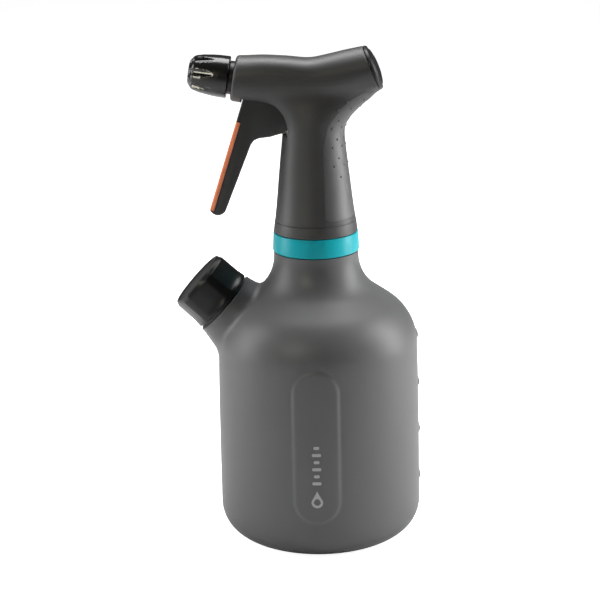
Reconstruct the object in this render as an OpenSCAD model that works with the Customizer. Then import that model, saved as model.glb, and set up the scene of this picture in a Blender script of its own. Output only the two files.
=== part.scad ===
// Hand pump sprayer of one litre: a blow-moulded bottle with a side filler, and a
// trigger pump head that screws onto its neck. Millimetres, +Z up. The origin is on
// the bottle's axis in the plane of its foot, and the nozzle points along -X.

/* [Bottle] */
// Outside radius of the bottle's body
body_r = 55.5; // [54.5:0.5:56.5]
// Wall thickness of the bottle
wall = 1.8; // [1.4:0.1:2.2]
// Radius of the rounded edge of the foot
foot_r = 16.8; // [14:0.2:18]
// Height at which the shoulder starts to curve in
shoulder_z = 108; // [106:0.5:110]
// Height of the raised label panel's lower end
panel_low = 23; // [22:1:28]
// Height of the panel's upper end
panel_high = 109; // [100:1:109]
// Width of the raised label panel
panel_w = 26; // [20:1:30]
// Height between two level marks, which hold a quarter of a litre
mark_pitch = 27.4; // [26:0.1:28]

/* [Filler] */
// Angle of the filler's axis above the horizontal
filler_tilt = 43; // [40:1:46]
// Outside radius of the filler's cap at its rim
cap_r = 18.4; // [18:0.1:19]
// Height of the filler's cap
cap_h = 18.9; // [18:0.1:20]

/* [Pump head] */
// Thickness of the head's moulded wall
shell = 1.8; // [1.5:0.1:2]
// Thickness of the soft pad let into the back of the grip
pad_t = 1; // [0.8:0.1:1.2]
// Angle of the nozzle's axis above the horizontal
nozzle_tilt = 9; // [8:0.5:10]
// Width of the trigger
trigger_w = 16; // [15:0.5:16.4]
// Distance from the trigger's pivot to the pump's axis
push_arm = 18; // [17.8:0.1:18.2]
// Angle that the trigger turns through
trigger_swing = 20; // [16:1:21]

/* [Hidden] */
$fn = 64;

dark = "#3d3d3c";
black = "#151515";
bottle_grey = "#6d6e6e";
natural = "#e4e2da";
steel = "#b9bcc0";
nbr = "#1b1b1b";

// Bottle: the shoulder is an arc, a straight slope and an arc up into the neck.
top_r = body_r - 0.9;       // the body narrows a little towards the shoulder
waist_z = 78;
shoulder_r = 30;
shoulder_turn = 55;
neck_arc_r = 24;
neck_r = 23;
neck_arc_z = 158.3;
ledge_z = 160.8;
finish_r = 18.6;
finish_bore_r = 16.8;
finish_z = 174;
pushup_r = 22;
pushup_h = 4;
pushup_edge_r = 27;
foot_flat_r = body_r - foot_r;
panel_proud = 0.8;
mark_z = 29.7;
mark_proud = 0.8;
mark_span = 22;
mark_start = -2;
mark_count = 4;

// Filler: everything on it is drawn along its axis from the end of its shoulder.
filler_x = -51;
filler_z = 131.4;
filler_r = 19;
filler_flare = 24;
// the filler's shoulder ends this far below the foot of its finish
boss_drop = 0.8;
filler_root = 22;
filler_bore_r = 13.2;
filler_finish_r = 15.2;
filler_finish_h = 15.5;
filler_gasket_t = 1.6;
cap_gap = 1;
cap_skirt_bore_r = 16.7;
cap_scallops = 6;
cap_scallop_r = 11;
cap_scallop_depth = 0.9;

// Neck joint
gasket_t = 1.2;
collar_bore_r = 19.9;
collar_r = 20.9;
collar_z = 161.8;
flange_t = 2.2;
flange_z = finish_z + gasket_t;
ring_z = 161.4;
ring_h = 10.2;
ring_low_r = 23.5;
ring_high_r = 22.9;
adapter_z = ring_z + ring_h + 0.1;
adapter_h = 6.2;
vent_x = -8;

// The grip's outline, one station a row: height, front x, back x, half its depth.
grip_z = adapter_z + adapter_h + 0.1;
grip_stations = [
    [grip_z, -21.9, 21.9, 21.7], [186, -20.9, 20.7, 20.1], [198, -19.7, 19.3, 18.2],
    [210, -18.5, 17.9, 16.7], [219, -17.5, 16.9, 15.7], [225, -16.9, 16.5, 15.1],
    [229, -16.9, 17.1, 14.8], [233.4, -18.6, 19.6, 14.4], [238.2, -22.6, 24.2, 13.7],
    [241.6, -28, 28.2, 12.9], [243.2, -36, 30.4, 12.3], [247, -37, 34.5, 11.6]];
// The head's outline: centre x and z, lean of the section, half height, half width,
// and the power of its rounded section, in which 2 is an ellipse.
head_stations = [
    [-42.2, 255, -10, 12.2, 12.2, 2], [-36, 254.4, -7, 12.6, 12.3, 2.3],
    [-26, 254, -3, 13, 12.3, 2.6], [-13, 253.4, 0, 12.8, 12.2, 2.6],
    [-1, 252.8, 4, 12.5, 12.2, 2.4], [10, 254.5, 12, 12.7, 12.3, 2.2],
    [21, 257.2, 18.5, 12.6, 12.4, 2], [31, 259.2, 21.6, 12.6, 12.6, 2]];
grip_steps = 12;
head_steps = 9;
ring_points = 24;

// Pump
pump_z = 228;
pivot_x = -31;
pivot_z = 246;
dip_x = 4.5;
pump_bore_r = 6.6;
pump_r = 8.2;
pump_front = -9;
pump_end = 8.5;
pump_back = 10.5;
stroke = push_arm * trigger_swing * PI / 180;
rest_lean = -trigger_swing / 2;
nose_r = 2.5;
nose_x = pivot_x + push_arm * sin(rest_lean);
nose_z = pivot_z - push_arm * cos(rest_lean);
nose_gap = 0.13;
piston_front = nose_x + nose_r + nose_gap;
piston_back = -2.5;
rod_r = 3.4;
spring_seat = -13.5;
leg_r = 5.2;
leg_z = 200.5;
bush_r = 4.2;
seat_z = 215;
inlet_ball_r = 2.4;
inlet_port_r = 1.5;
outlet_seat_z = 237.5;
outlet_ball_r = 2.2;
outlet_port_r = 1.4;
valve_bore_r = 2.8;
ball_rest = 0.03;
riser_top = 254;
duct_r = 4;
duct_bore_r = 1.75;
duct_end = -4;
pin_r = 1.5;
lobe_r = 25;
cheek_t = 1.8;

// Dip tube
tube_r = 3;
tube_bore_r = 2;
tube_bottom = 13;
tube_top = 211;
strainer_bottom = 7;

function unit_power(v, n) = sign(v) * pow(abs(v), 2 / n);
function spline(p, u) =
    let (k = min(floor(u), len(p) - 2), t = u - k, a = p[max(k - 1, 0)], b = p[k],
         c = p[k + 1], d = p[min(k + 2, len(p) - 1)])
    0.5 * (2 * b + (c - a) * t + (2 * a - 5 * b + 4 * c - d) * t * t
        + (3 * b - a - 3 * c + d) * t * t * t);
function arc(x, y, r, from, to, steps = 8) =
    [for (i = [0:steps]) let (a = from + (to - from) * i / steps) [x + r * cos(a), y + r * sin(a)]];
function grip_ring(s, t) = [for (i = [0:ring_points - 1]) let (a = 360 * i / ring_points)
    [(s[1] + s[2]) / 2 + ((s[2] - s[1]) / 2 - t) * cos(a), (s[3] - t) * sin(a), s[0]]];
function head_ring(s, t) = [for (i = [0:ring_points - 1])
    let (a = 360 * i / ring_points, up = (s[3] - t) * unit_power(sin(a), s[5]),
         side = (s[4] - t) * unit_power(cos(a), s[5]))
    [s[0] - up * sin(s[2]), side, s[1] + up * cos(s[2])]];

// A closed solid through a list of rings that all have the same number of points.
module loft(rings) {
    n = len(rings[0]);
    m = len(rings);
    polyhedron(
        points = [for (r = rings) each r],
        faces = concat(
            [[for (i = [0:n - 1]) i]],
            [for (k = [0:m - 2], i = [0:n - 1]) let (j = (i + 1) % n)
                [k * n + i, (k + 1) * n + i, (k + 1) * n + j, k * n + j]],
            [[for (i = [n - 1:-1:0]) (m - 1) * n + i]]));
}

// The pump head's outside, drawn in by t on every side. Its ends run past by extra.
module head_form(t = 0, extra = 0) {
    grip = [for (i = [0:grip_steps]) spline(grip_stations, (len(grip_stations) - 1) * i / grip_steps)];
    head = [for (i = [0:head_steps]) spline(head_stations, (len(head_stations) - 1) * i / head_steps)];
    first = head_stations[0];
    last = head_stations[len(head_stations) - 1];
    foot = grip_stations[0];
    function slid(s, d) = [s[0] + d * cos(s[2]), s[1] + d * sin(s[2]), s[2], s[3], s[4], s[5]];
    loft([for (s = extra > 0 ? concat([[foot[0] - extra, foot[1], foot[2], foot[3]]], grip) : grip)
        grip_ring(s, t)]);
    loft([for (s = extra > 0 ? concat([slid(first, -extra)], head, [slid(last, extra)]) : head)
        head_ring(s, t)]);
}

// Places its children on the filler's axis, which becomes their +Z.
module on_filler(along = 0) {
    translate([filler_x, 0, filler_z]) rotate([0, filler_tilt - 90, 0]) translate([0, 0, along])
        children();
}

// Places its children on the nozzle's axis, which becomes their +Z.
module on_nozzle(along = 0) {
    translate([head_stations[0][0], 0, head_stations[0][1]]) rotate([0, nozzle_tilt - 90, 0])
        translate([0, 0, along]) children();
}

// Places its children on the axis of the head's back end, which becomes their +Z.
module on_back(along = 0) {
    end = head_stations[len(head_stations) - 1];
    translate([end[0], 0, end[1]]) rotate([0, 90 - end[2], 0]) translate([0, 0, along]) children();
}

// Places its children on the pump's axis at x, which becomes their +Z.
module on_pump(x = 0) {
    translate([x, 0, pump_z]) rotate([0, 90, 0]) children();
}

// A plate in the XZ plane of width w, centred on y = 0.
module side_plate(w) {
    rotate([90, 0, 0]) linear_extrude(w, center = true) children();
}

module tube(outer, inner, h) {
    difference() {
        cylinder(r = outer, h = h);
        translate([0, 0, -1]) cylinder(r = inner, h = h + 2);
    }
}

// A coil along +Z, from 0 to h, of round wire.
module coil(r, wire_r, h, turns, sides = 6, per_turn = 14) {
    steps = turns * per_turn;
    loft([for (i = [0:steps]) let (a = 360 * i / per_turn, z = wire_r + (h - 2 * wire_r) * i / steps)
        [for (j = [0:sides - 1]) let (b = -360 * j / sides)
            [(r + wire_r * cos(b)) * cos(a), (r + wire_r * cos(b)) * sin(a), z + wire_r * sin(b)]]]);
}

module bottle_outside() {
    neck_x = neck_r + neck_arc_r;
    rotate_extrude() polygon(concat(
        [[0, pushup_h], [pushup_r, pushup_h], [pushup_edge_r, 0]],
        arc(foot_flat_r, foot_r, foot_r, -90, 0),
        [[body_r, waist_z]],
        arc(top_r - shoulder_r, shoulder_z, shoulder_r, 0, shoulder_turn),
        arc(neck_x, neck_arc_z, neck_arc_r, 180 + shoulder_turn, 180),
        [[neck_r, ledge_z], [finish_r, ledge_z], [finish_r, finish_z], [0, finish_z]]));
}

module bottle_inside() {
    neck_x = neck_r + neck_arc_r;
    rotate_extrude() polygon(concat(
        [[0, pushup_h + wall], [pushup_r, pushup_h + wall], [pushup_edge_r, wall]],
        arc(foot_flat_r, foot_r, foot_r - wall, -90, 0),
        [[body_r - wall, waist_z]],
        arc(top_r - shoulder_r, shoulder_z, shoulder_r - wall, 0, shoulder_turn),
        arc(neck_x, neck_arc_z, neck_arc_r + wall, 180 + shoulder_turn, 180),
        [[neck_r - wall, ledge_z - wall], [finish_bore_r, ledge_z - wall],
         [finish_bore_r, finish_z + 1], [0, finish_z + 1]]));
}

// Outline of the label panel as a prism, from inside the wall out past the bottle.
module panel_prism() {
    half = panel_w / 2;
    translate([0, 6 - body_r, 0]) rotate([90, 0, 0]) linear_extrude(10) {
        translate([0, panel_low + half]) circle(half);
        translate([0, panel_high - half]) circle(half);
        translate([-half, panel_low + half]) square([panel_w, panel_high - panel_low - panel_w]);
    }
}

module level_marks() {
    for (i = [0:mark_count - 1]) {
        z = mark_z + i * mark_pitch;
        r = z > shoulder_z ? top_r - 0.25 : z > waist_z ? body_r - 0.2 : body_r;
        rotate(mark_start) rotate_extrude(angle = mark_span) translate([r, z])
            polygon([[-1, -2.4], [0, -1.6], [mark_proud * 0.8, -0.8], [mark_proud, 0],
                [mark_proud * 0.8, 0.8], [0, 1.6], [-1, 2.4]]);
    }
}

module bottle() {
    color(bottle_grey) {
        difference() {
            union() {
                bottle_outside();
                on_filler(-filler_root) cylinder(r1 = filler_flare, r2 = filler_r + 0.2, h = filler_root - boss_drop);
                on_filler(-2) cylinder(r = filler_finish_r, h = filler_finish_h + 2);
                for (side = [0, 180]) rotate(side) intersection() {
                    panel_prism();
                    translate([0, 0, panel_low - 1])
                        cylinder(r = body_r + panel_proud, h = panel_high - panel_low + 2);
                }
            }
            bottle_inside();
            on_filler(-filler_root)
                cylinder(r1 = filler_flare - wall, r2 = filler_r - wall, h = filler_root - wall - boss_drop);
            on_filler(-wall - boss_drop - 0.1) cylinder(r = filler_bore_r, h = filler_finish_h + wall + 2);
        }
        level_marks();
    }
}

module filler_gasket() {
    color(natural) on_filler(filler_finish_h) tube(filler_finish_r + 0.6, filler_bore_r - 1.2, filler_gasket_t);
}

module filler_cap() {
    roof = cap_h - cap_gap + 1 - filler_finish_h - filler_gasket_t;
    color(black) difference() {
        on_filler(cap_gap) rotate_extrude() polygon([[0, 0], [cap_r, 0], [cap_r, 2],
            [cap_r - 0.7, cap_h - 2.4], [cap_r - 2.4, cap_h], [0, cap_h]]);
        on_filler(cap_gap - 1) cylinder(r = cap_skirt_bore_r, h = filler_finish_h + filler_gasket_t - cap_gap + 1);
        for (i = [0:cap_scallops - 1])
            on_filler(cap_gap + 1.6) rotate(360 * (i + 0.5) / cap_scallops)
                translate([cap_r + cap_scallop_r - cap_scallop_depth, 0, 0])
                    cylinder(r = cap_scallop_r, h = cap_h);
    }
}

module neck_gasket() {
    color(nbr) translate([0, 0, finish_z]) tube(finish_r + 0.6, 13, gasket_t);
}

module screw_collar() {
    color(black) difference() {
        translate([0, 0, collar_z]) cylinder(r = collar_r, h = flange_z + flange_t - collar_z);
        translate([0, 0, collar_z - 1]) cylinder(r = collar_bore_r, h = flange_z - collar_z + 1);
        translate([dip_x, 0, flange_z - 1]) cylinder(r = tube_r, h = flange_t + 2);
        translate([vent_x, 0, flange_z - 1]) cylinder(r = 1, h = flange_t + 2);
    }
}

module vent_valve() {
    color(nbr) translate([vent_x, 0, flange_z]) {
        translate([0, 0, -0.9]) cylinder(r = 2.8, h = 0.9);
        translate([0, 0, -0.5]) cylinder(r = 1, h = flange_t + 1);
        translate([0, 0, flange_t]) cylinder(r1 = 1.5, r2 = 0.8, h = 1.6);
    }
}

module collar_ring() {
    color("#0fb4bf") translate([0, 0, ring_z]) rotate_extrude()
        polygon([[collar_r + 0.1, 0], [ring_low_r - 0.4, 0], [ring_low_r, 0.4],
            [ring_high_r, ring_h - 0.3], [ring_high_r - 0.3, ring_h], [collar_r + 0.1, ring_h]]);
}

module adapter_ring() {
    color(dark) translate([0, 0, adapter_z]) rotate_extrude()
        polygon([[collar_r + 0.1, 0], [22.6, 0], [22.7, 0.3], [21.95, adapter_h - 0.2],
            [21.8, adapter_h], [collar_r + 0.1, adapter_h]]);
}

// Side outline of the soft pad at the back of the grip.
module pad_outline() {
    polygon([[5.5, grip_z + 2.5], [5.5, 222], [8, 231], [14, 239], [20, 244], [26, 247],
        [42, 247], [42, grip_z + 2.5]]);
}

module housing() {
    // resize by nothing keeps the shell in one mesh
    color(dark) resize([0, 0, 0]) difference() {
        union() {
            difference() {
                head_form();
                side_plate(60) pad_outline();
            }
            head_form(pad_t);
        }
        head_form(shell, 3);
        // mouth for the trigger, open below and in front of the grip
        side_plate(trigger_w + 1.2) polygon([[-38.2, 236], [-24, 224.3], [-11, 224.3], [-11, 243],
            [-20, 248.5], [-38.2, 248.5]]);
    }
}

module grip_pad() {
    color("#454544") resize([0, 0, 0]) intersection() {
        side_plate(60) pad_outline();
        difference() {
            head_form();
            head_form(pad_t);
        }
    }
}

module rear_cap() {
    r = 12.4;
    color(black) on_back(0.15) {
        rotate_extrude() polygon(concat([[0, 0], [r, 0], [r, 0.9]], [for (i = [1:8])
            let (a = 90 * i / 8) [r * cos(a) - 0.3 * sin(a) * cos(a), 0.9 + 3.2 * sin(a)]]));
        translate([0, 0, -2.6]) tube(10, 8.6, 3);
    }
}

module nozzle_bezel() {
    color(black) on_nozzle(0) rotate_extrude() polygon([[4.3, -3.2], [10.3, -3.2], [10.3, -0.8],
        [8.9, -0.8], [8.9, 2.3], [6.5, 2.3], [6.5, 1], [4.3, 1]]);
}

module pump_block() {
    color(natural) difference() {
        union() {
            on_pump(pump_front) cylinder(r = pump_r, h = pump_back - pump_front);
            translate([dip_x, 0, leg_z]) cylinder(r = leg_r, h = pump_z - leg_z);
            translate([dip_x, 0, pump_z]) cylinder(r = leg_r, h = riser_top - pump_z);
            intersection() {
                on_nozzle(duct_end) rotate([180, 0, 0]) cylinder(r = duct_r, h = 60);
                translate([-60, -10, 230]) cube([60 + dip_x, 20, 40]);
            }
            translate([pivot_x, 0, pivot_z]) rotate([90, 0, 0]) cylinder(r = 3.4, h = 10.4, center = true);
            translate([pivot_x - 2, -4, pivot_z]) cube([4, 8, 6]);
            // wings that seat the block in the grip
            for (side = [-1, 1])
                translate([-1, side * 10 - 2, pump_z - 6]) cube([3, 4, 12]);
        }
        on_pump(pump_front - 1) cylinder(r = pump_bore_r, h = pump_end - pump_front + 1);
        translate([dip_x, 0, leg_z - 1]) cylinder(r = bush_r, h = seat_z - leg_z + 1);
        translate([dip_x, 0, seat_z - 0.1]) cylinder(r = valve_bore_r, h = 5.7);
        translate([dip_x, 0, seat_z + 5]) cylinder(r = 1.6, h = 3);
        translate([dip_x, 0, pump_z]) cylinder(r = outlet_port_r, h = outlet_seat_z - pump_z + 1);
        translate([dip_x, 0, outlet_seat_z]) cylinder(r = valve_bore_r, h = riser_top);
        intersection() {
            on_nozzle(duct_end + 1) rotate([180, 0, 0]) cylinder(r = duct_bore_r, h = 60);
            translate([-60, -10, 230]) cube([60 + dip_x, 20, 40]);
        }
        on_nozzle(duct_end - 7) cylinder(r = 3, h = 8);
        translate([pivot_x, 0, pivot_z]) rotate([90, 0, 0]) cylinder(r = pin_r, h = 20, center = true);
    }
}

module riser_plug() {
    color(natural) translate([dip_x, 0, riser_top]) {
        translate([0, 0, -3.5]) cylinder(r = valve_bore_r, h = 3.5);
        cylinder(r = 4.6, h = 1.2);
    }
}

module inlet_bush() {
    color(natural) translate([dip_x, 0, leg_z + 0.5]) difference() {
        cylinder(r = bush_r, h = seat_z - leg_z - 0.5);
        translate([0, 0, -1]) cylinder(r = tube_r, h = tube_top - leg_z + 0.5);
        cylinder(r = inlet_port_r, h = 30);
    }
}

function ball_z(seat, ball, port) = seat + sqrt(ball * ball - port * port) + ball_rest;

module inlet_ball() {
    color(steel) translate([dip_x, 0, ball_z(seat_z, inlet_ball_r, inlet_port_r)])
        sphere(r = inlet_ball_r);
}

module outlet_ball() {
    color(steel) translate([dip_x, 0, ball_z(outlet_seat_z, outlet_ball_r, outlet_port_r)])
        sphere(r = outlet_ball_r);
}

module outlet_spring() {
    low = ball_z(outlet_seat_z, outlet_ball_r, outlet_port_r) + outlet_ball_r - 0.6;
    color(steel) translate([dip_x, 0, low]) coil(1.7, 0.22, riser_top - 3.5 - low, 5, 5, 10);
}

module piston() {
    color("#d8d5cb") on_pump() difference() {
        union() {
            translate([0, 0, piston_front]) cylinder(r = rod_r, h = spring_seat - piston_front);
            translate([0, 0, spring_seat - 1]) cylinder(r = 5.4, h = piston_back - spring_seat + 1);
            translate([0, 0, piston_back - 6]) cylinder(r = 6.3, h = 6);
        }
        translate([0, 0, piston_back - 4.2]) tube(7, 5.2, 2.2);
        translate([0, 0, spring_seat]) cylinder(r = 4.2, h = 40);
    }
}

module piston_seal() {
    color(nbr) on_pump() translate([0, 0, piston_back - 4.1]) tube(6.55, 5.2, 2);
}

module return_spring() {
    front = spring_seat + 0.05;
    color(steel) on_pump(front) coil(3.4, 0.5, pump_end - front - 0.05, 7);
}

blade_top = [-37.5, 243];
blade_tip = [-52, 186.7];
blade_tip_r = 4.7;
blade_low = blade_tip + blade_tip_r * [cos(160), -sin(160)];

// Side outline of the trigger: blade, and the lobe that turns into the head.
module trigger_outline() {
    low_angle = -50.8;
    polygon(concat([blade_top, [-36.2, 247.5], [-33.5, 250], [-29, 250]],
        arc(pivot_x, pivot_z, lobe_r, -18, low_angle, 10),
        [[-23, 224.4], [-29, 223.7], [-31.6, 222.6], [-33.4, 220.2]],
        arc(blade_tip[0], blade_tip[1], blade_tip_r, -20, -160, 10)));
}

// The strip along the trigger's front that the coloured inlay fills.
module inlay_outline() {
    front = blade_top - blade_low;
    intersection() {
        trigger_outline();
        translate(blade_low) rotate(-atan2(front[0], front[1])) translate([-1, 0])
            square([3.4, norm(front) - 10.5]);
    }
}

module trigger() {
    hollow = trigger_w - 2 * cheek_t;
    color(black) difference() {
        union() {
            difference() {
                side_plate(trigger_w) trigger_outline();
                // a channel, open behind and above, leaves two cheeks and the front wall
                side_plate(hollow) polygon([[-49.4, 186.5], [-34.9, 243], [-34.9, 251], [0, 251],
                    [0, 218], [-30, 218], [-44, 186.5]]);
            }
            translate([nose_x, 0, nose_z]) rotate([90, 0, 0]) cylinder(r = nose_r, h = hollow + 1, center = true);
            side_plate(hollow + 1) translate([-40.5, nose_z - 1.2]) square([6, 2.4]);
        }
        side_plate(trigger_w + 2) inlay_outline();
        translate([pivot_x, 0, pivot_z]) rotate([90, 0, 0]) cylinder(r = pin_r + 0.06, h = 20, center = true);
    }
}

module trigger_inlay() {
    color("#e0683a") side_plate(trigger_w) inlay_outline();
}

module trigger_pin() {
    color(steel) translate([pivot_x, 0, pivot_z]) rotate([90, 0, 0])
        cylinder(r = pin_r, h = trigger_w + 1, center = true);
}

module nozzle_spigot() {
    color(black) difference() {
        union() {
            on_nozzle(duct_end - 7) cylinder(r = 3, h = 8);
            on_nozzle(duct_end) cylinder(r = 4.2, h = 6);
            on_nozzle(1.2) cylinder(r = 6, h = 10.8);
            on_nozzle(11) cylinder(r = 5.2, h = 6.6);
        }
        on_nozzle(duct_end - 8) cylinder(r = duct_bore_r, h = 40);
        on_nozzle(8) cylinder(r = 2.4, h = 20);
        on_nozzle(13.6) tube(7, 3.9, 2);
    }
}

module nozzle_oring() {
    color(nbr) on_nozzle(14.6) rotate_extrude() translate([4.75, 0]) circle(0.78, $fn = 24);
}

module swirl_core() {
    color(natural) on_nozzle(9) difference() {
        cylinder(r = 2.35, h = 8.6);
        for (i = [0:2]) rotate(120 * i) translate([2, -0.5, -1]) cube([2, 1, 12]);
        translate([0, 0, 7.4]) cylinder(r = 1.2, h = 4);
    }
}

module nozzle_insert() {
    color("#7a7a78") on_nozzle(18.8) difference() {
        union() {
            cylinder(r = 4.4, h = 1.6);
            cylinder(r = 3.2, h = 4.4);
        }
        translate([0, 0, -1]) cylinder(r = 0.45, h = 8);
        translate([0, 0, 3.6]) cylinder(r1 = 0.45, r2 = 1.7, h = 0.9);
    }
}

module nozzle_knob() {
    base = 2.6;
    color(black) difference() {
        on_nozzle(base) rotate_extrude() polygon(concat([[0, 0], [11, 0], [11.2, 0.3], [11.1, 5],
            [10.8, 9], [10.3, 13]], arc(4.8, 15.7, 5.6, 25, 90, 6), [[0, 21.3]]));
        on_nozzle(base - 1) cylinder(r = 7, h = 10.9);
        on_nozzle(base) cylinder(r = 5.6, h = 16.2);
        on_nozzle(base + 15) cylinder(r = 4.45, h = 2.85);
        on_nozzle(base + 15) cylinder(r = 3.25, h = 12);
        // finger flutes run in from the front
        for (i = [0:7]) on_nozzle(base + 8) rotate(45 * i + 11) translate([12.3, 0, 0])
            rotate([0, -11, 0]) cylinder(r = 1.9, h = 22);
    }
}

module dip_tube() {
    color(natural) translate([dip_x, 0, tube_bottom]) tube(tube_r, tube_bore_r, tube_top - tube_bottom);
}

module strainer() {
    color(black) translate([dip_x, 0, strainer_bottom]) difference() {
        cylinder(r = 4.4, h = 14);
        translate([0, 0, tube_bottom - strainer_bottom]) cylinder(r = tube_r, h = 20);
        translate([0, 0, 1.2]) cylinder(r = 2.6, h = 20);
        for (i = [0:2]) rotate(60 * i) translate([-6, -0.8, 1.8]) cube([12, 1.6, 3.6]);
    }
}

bottle();
filler_gasket();
filler_cap();
neck_gasket();
screw_collar();
vent_valve();
collar_ring();
adapter_ring();
housing();
grip_pad();
rear_cap();
nozzle_bezel();
pump_block();
riser_plug();
inlet_bush();
inlet_ball();
outlet_ball();
outlet_spring();
piston();
piston_seal();
return_spring();
trigger();
trigger_inlay();
trigger_pin();
nozzle_spigot();
nozzle_oring();
swirl_core();
nozzle_insert();
nozzle_knob();
dip_tube();
strainer();
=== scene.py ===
"""Looks of a one-litre pump sprayer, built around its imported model.

Sizes in the classes are millimetres in the model's own frame: +Z is up the bottle's
axis, the nozzle points along -X and the foot stands at Z = 0.
"""

from __future__ import annotations

import logging
import math
from dataclasses import dataclass
from enum import Enum
from typing import Sequence

import bmesh
import bpy
import numpy as np
from mathutils import Matrix, Quaternion, Vector
from mathutils.bvhtree import BVHTree

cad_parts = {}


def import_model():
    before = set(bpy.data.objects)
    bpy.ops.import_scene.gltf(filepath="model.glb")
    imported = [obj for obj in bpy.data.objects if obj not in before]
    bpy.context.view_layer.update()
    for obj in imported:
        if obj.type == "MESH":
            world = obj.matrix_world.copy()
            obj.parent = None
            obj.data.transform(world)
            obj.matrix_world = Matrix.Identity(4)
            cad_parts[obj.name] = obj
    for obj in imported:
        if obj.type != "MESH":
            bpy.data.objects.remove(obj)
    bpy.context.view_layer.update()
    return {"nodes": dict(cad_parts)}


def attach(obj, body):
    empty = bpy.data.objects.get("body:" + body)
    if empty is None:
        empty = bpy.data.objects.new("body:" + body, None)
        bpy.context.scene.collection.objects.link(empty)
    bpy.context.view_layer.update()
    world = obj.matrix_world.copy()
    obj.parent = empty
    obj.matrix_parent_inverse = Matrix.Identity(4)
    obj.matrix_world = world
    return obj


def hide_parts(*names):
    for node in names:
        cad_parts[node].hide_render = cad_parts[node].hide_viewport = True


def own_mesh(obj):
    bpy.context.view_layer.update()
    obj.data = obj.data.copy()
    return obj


LOG = logging.getLogger("sprayer")
MM = 0.001
Point2 = tuple[float, float]
Colour = tuple[float, float, float]
Point3 = tuple[float, float, float]
BMesh, BMVert, BMEdge = bmesh.types.BMesh, bmesh.types.BMVert, bmesh.types.BMEdge
SCATTER_DEPTH = 0.002


class Cut(Enum):
    """How one solid is combined with another."""

    REMOVE = "DIFFERENCE"
    KEEP_COMMON = "INTERSECT"


class Grain(Enum):
    """How coarse a moulded surface feels, as noise cells per metre and bump depth."""

    POLISHED = (900.0, 0.015)
    SATIN = (1500.0, 0.05)
    SPARK = (2600.0, 0.16)
    SOFT = (3600.0, 0.22)
    DRAWN = (700.0, 0.03)


# --------------------------------------------------------------------- finishes


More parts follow.
